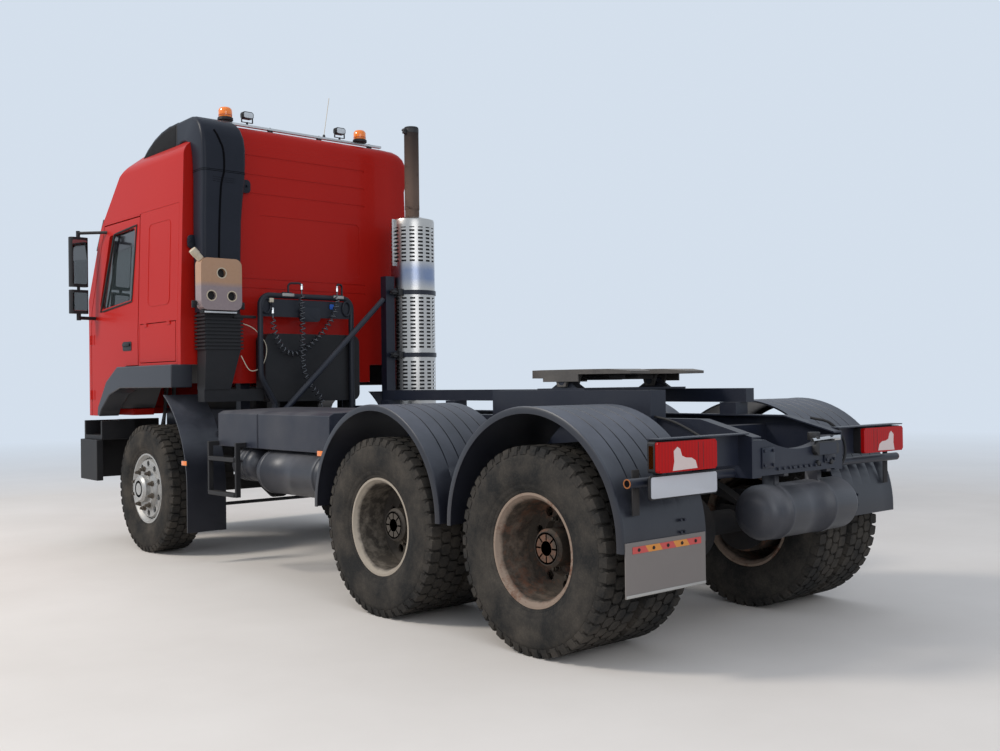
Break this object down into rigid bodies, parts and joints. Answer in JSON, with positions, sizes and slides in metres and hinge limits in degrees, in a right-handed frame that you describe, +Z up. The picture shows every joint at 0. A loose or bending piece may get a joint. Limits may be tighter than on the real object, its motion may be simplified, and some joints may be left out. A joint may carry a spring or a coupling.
{
  "type": "semi truck tractor unit",
  "caption": "Cab-over semi truck tractor unit, all axles driven, with a high roof sleeper cab that tilts, fifth wheel and twin rear wheels.",
  "frame": {"origin": "on the ground under the middle of the whole truck", "axes": "+Z up, the cab faces -Y, the vehicle's left side is +X"},
  "size_m": [2.81, 7.2118, 4.0647],
  "materials": {
    "tyre": "dusty block tread",
    "front_rim": "silver grey, worn",
    "rear_rim": "dusty and rust stained",
    "chassis": "dark blue black, dusty",
    "cast": "dusty",
    "plate_steel": "greased steel",
    "cab_red": "gloss red",
    "bumper_plastic": "dark plastic",
    "guard_plastic": "dark plastic, dusty",
    "lamp": "lamp lens",
    "glass": "window glass",
    "tank": "grey primer",
    "fuel": "dull aluminium",
    "stainless": "perforated stainless guard",
    "rubber": "black rubber",
    "bottle": "aged translucent plastic",
    "aluminium": "roof bar",
    "interior": "dark grey trim",
    "engine": "plain block",
    "hose": "curled hose",
    "mirror": "mirror head"
  },
  "bodies": {
    "chassis": {"air_intake": "bumper_plastic", "air_tanks": "tank", "bumper": "bumper_plastic", "drive_line": "cast", "engine": "engine", "exhaust": "stainless", "exhaust_frame": "chassis", "frame": "chassis", "front_axle": "cast", "front_guards": "guard_plastic", "fuel_tank": "fuel", "hose_hanging": "hose", "hose_middle": "hose", "hose_rack": "chassis", "lamps": "lamp", "left_box": "chassis", "rear_axles": "cast", "rear_flap": "rubber", "rear_guards": "guard_plastic", "springs": "cast", "steps": "chassis", "subframe": "chassis", "tail_brackets": "chassis"},
    "wheel_front_left": {"tyre_front_left": "tyre", "rim_front_left": "front_rim"},
    "knuckle_left": {"knuckle_left": "cast"},
    "door_left": {"door_left": "cab_red", "door_glass_left": "glass", "mirror_left": "mirror"},
    "locker_lid_left": {"locker_lid_left": "cab_red"},
    "wheels_mid_left": {"tyres_mid_left": "tyre", "rims_mid_left": "rear_rim"},
    "wheels_last_left": {"tyres_last_left": "tyre", "rims_last_left": "rear_rim"},
    "wheel_front_right": {"tyre_front_right": "tyre", "rim_front_right": "front_rim"},
    "knuckle_right": {"knuckle_right": "cast"},
    "door_right": {"door_right": "cab_red", "door_glass_right": "glass", "mirror_right": "mirror"},
    "locker_lid_right": {"locker_lid_right": "cab_red"},
    "wheels_mid_right": {"tyres_mid_right": "tyre", "rims_mid_right": "rear_rim"},
    "wheels_last_right": {"tyres_last_right": "tyre", "rims_last_right": "rear_rim"},
    "tie_rod": {"tie_rod": "cast"},
    "fifth_wheel": {"fifth_wheel_plate": "plate_steel"},
    "cab": {"cab_floor": "chassis", "snorkel": "guard_plastic", "header_tank": "bottle", "roof_bar": "aluminium", "visor": "bumper_plastic", "arch_trims": "bumper_plastic", "cab_interior": "interior", "cab_back_wall": "cab_red", "cab_roof": "cab_red", "cab_sides": "cab_red", "cab_front": "cab_red", "windscreen": "glass"}
  },
  "joints": [
    {"name": "steer_left", "type": "hinge", "parent": "chassis", "child": "knuckle_left", "pos_m": [0.87, -2.21, 0.55], "axis": [0, 0, 1], "range_deg": [-35, 35]},
    {"name": "steer_right", "type": "hinge", "parent": "chassis", "child": "knuckle_right", "pos_m": [-0.87, -2.21, 0.55], "axis": [0, 0, 1], "range_deg": [-35, 35]},
    {"name": "tie_rod_turn", "type": "hinge", "parent": "knuckle_left", "child": "tie_rod", "pos_m": [0.87, -2.02, 0.385], "axis": [0, 0, 1], "range_deg": [-35, 35]},
    {"name": "spin_front_left", "type": "hinge", "parent": "knuckle_left", "child": "wheel_front_left", "pos_m": [1.016, -2.21, 0.55], "axis": [1, 0, 0], "continuous": true},
    {"name": "spin_front_right", "type": "hinge", "parent": "knuckle_right", "child": "wheel_front_right", "pos_m": [-1.016, -2.21, 0.55], "axis": [1, 0, 0], "continuous": true},
    {"name": "spin_mid_left", "type": "hinge", "parent": "chassis", "child": "wheels_mid_left", "pos_m": [0.9235, 1.39, 0.55], "axis": [1, 0, 0], "continuous": true},
    {"name": "spin_mid_right", "type": "hinge", "parent": "chassis", "child": "wheels_mid_right", "pos_m": [-0.9235, 1.39, 0.55], "axis": [1, 0, 0], "continuous": true},
    {"name": "spin_last_left", "type": "hinge", "parent": "chassis", "child": "wheels_last_left", "pos_m": [0.9235, 2.76, 0.55], "axis": [1, 0, 0], "continuous": true},
    {"name": "spin_last_right", "type": "hinge", "parent": "chassis", "child": "wheels_last_right", "pos_m": [-0.9235, 2.76, 0.55], "axis": [1, 0, 0], "continuous": true},
    {"name": "cab_tilt", "type": "hinge", "parent": "chassis", "child": "cab", "pos_m": [0, -3.48, 1.02], "axis": [1, 0, 0], "range_deg": [0, 65]},
    {"name": "door_left_swing", "type": "hinge", "parent": "cab", "child": "door_left", "pos_m": [1.166, -3.4, 1.9], "axis": [0, 0, -1], "range_deg": [0, 75]},
    {"name": "door_right_swing", "type": "hinge", "parent": "cab", "child": "door_right", "pos_m": [-1.166, -3.4, 1.9], "axis": [0, 0, 1], "range_deg": [0, 75]},
    {"name": "lid_left_lift", "type": "hinge", "parent": "cab", "child": "locker_lid_left", "pos_m": [1.163, -1.91, 1.972], "axis": [0, -1, 0], "range_deg": [0, 80]},
    {"name": "lid_right_lift", "type": "hinge", "parent": "cab", "child": "locker_lid_right", "pos_m": [-1.163, -1.91, 1.972], "axis": [0, 1, 0], "range_deg": [0, 80]},
    {"name": "fifth_wheel_pitch", "type": "hinge", "parent": "chassis", "child": "fifth_wheel", "pos_m": [0, 2.22, 1.43], "axis": [1, 0, 0], "range_deg": [-11, 11]}
  ],
  "couplings": [
    {"joint": "steer_right", "follows": "steer_left", "ratio": 1},
    {"joint": "tie_rod_turn", "follows": "steer_left", "ratio": -1}
  ]
}
